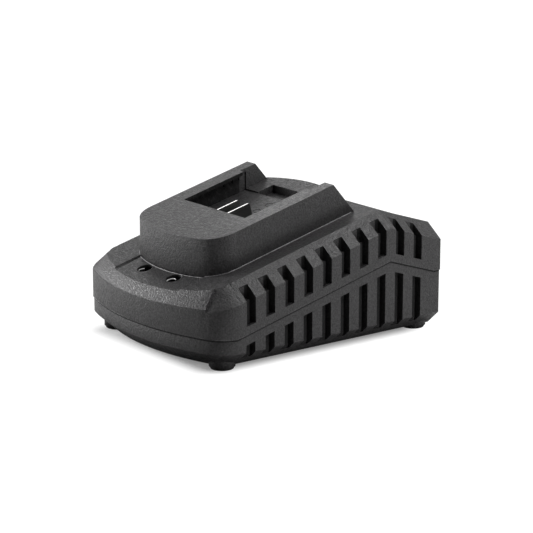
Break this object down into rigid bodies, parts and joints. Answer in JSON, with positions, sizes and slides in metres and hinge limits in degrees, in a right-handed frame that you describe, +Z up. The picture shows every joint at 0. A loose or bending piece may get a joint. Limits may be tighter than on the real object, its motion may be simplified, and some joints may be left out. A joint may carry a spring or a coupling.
{
  "type": "power tool battery charger",
  "caption": "Bench battery charger: slotted two-part case with a wedge roof, raised slide-in dock with two upright blades and side rails, indicator panel, rear mains inlet and rubber feet.",
  "frame": {"origin": "centre of the footprint, on the table under the rubber feet", "axes": "+Y towards the rear, where the battery slides in from and the mains inlet is; +X to the right seen from above with the rear away; +Z up"},
  "size_m": [0.121, 0.154, 0.0811],
  "materials": {
    "case_plastic": "fine texture",
    "dock_plastic": "fine texture",
    "foot_rubber": "matte",
    "screw_steel": "zinc plated",
    "black_plastic": "satin",
    "contact_metal": "tin plated",
    "red_insulation": "smooth",
    "black_insulation": "smooth",
    "circuit_board": "solder mask",
    "lamp_lens": "clear",
    "ribbon_cable": "smooth",
    "fuse_glass": "clear",
    "yellow_case": "moulded",
    "ferrite": "sintered",
    "copper_wire": "enamelled",
    "capacitor_sleeve": "shrink sleeve",
    "sink_aluminium": "milled",
    "winding_tape": "polyester tape"
  },
  "bodies": {
    "root": {"bottom_shell": "case_plastic", "top_shell": "case_plastic", "battery_dock": "dock_plastic", "rubber_feet": "foot_rubber", "case_screws": "screw_steel", "dock_screws": "screw_steel", "terminal_block": "black_plastic", "terminal_screws": "screw_steel", "positive_blade": "contact_metal", "negative_blade": "contact_metal", "positive_lead": "red_insulation", "negative_lead": "black_insulation", "led_board": "circuit_board", "led_board_screws": "screw_steel", "red_led": "lamp_lens", "green_led": "lamp_lens", "led_ribbon": "ribbon_cable", "main_board": "circuit_board", "board_screws": "screw_steel", "mains_inlet": "black_plastic", "inlet_pins": "contact_metal", "fuse_tube": "fuse_glass", "fuse_clips": "contact_metal", "filter_capacitor": "yellow_case", "choke_core": "ferrite", "choke_winding": "copper_wire", "bridge_rectifier": "black_plastic", "bulk_capacitor": "capacitor_sleeve", "primary_heat_sink": "sink_aluminium", "switching_transistor": "black_plastic", "transformer_core": "ferrite", "transformer_winding": "winding_tape", "secondary_heat_sink": "sink_aluminium", "output_rectifier": "black_plastic", "heat_sink_screws": "screw_steel", "output_capacitors": "capacitor_sleeve", "optocoupler": "black_plastic", "control_chip": "black_plastic"}
  },
  "joints": []
}
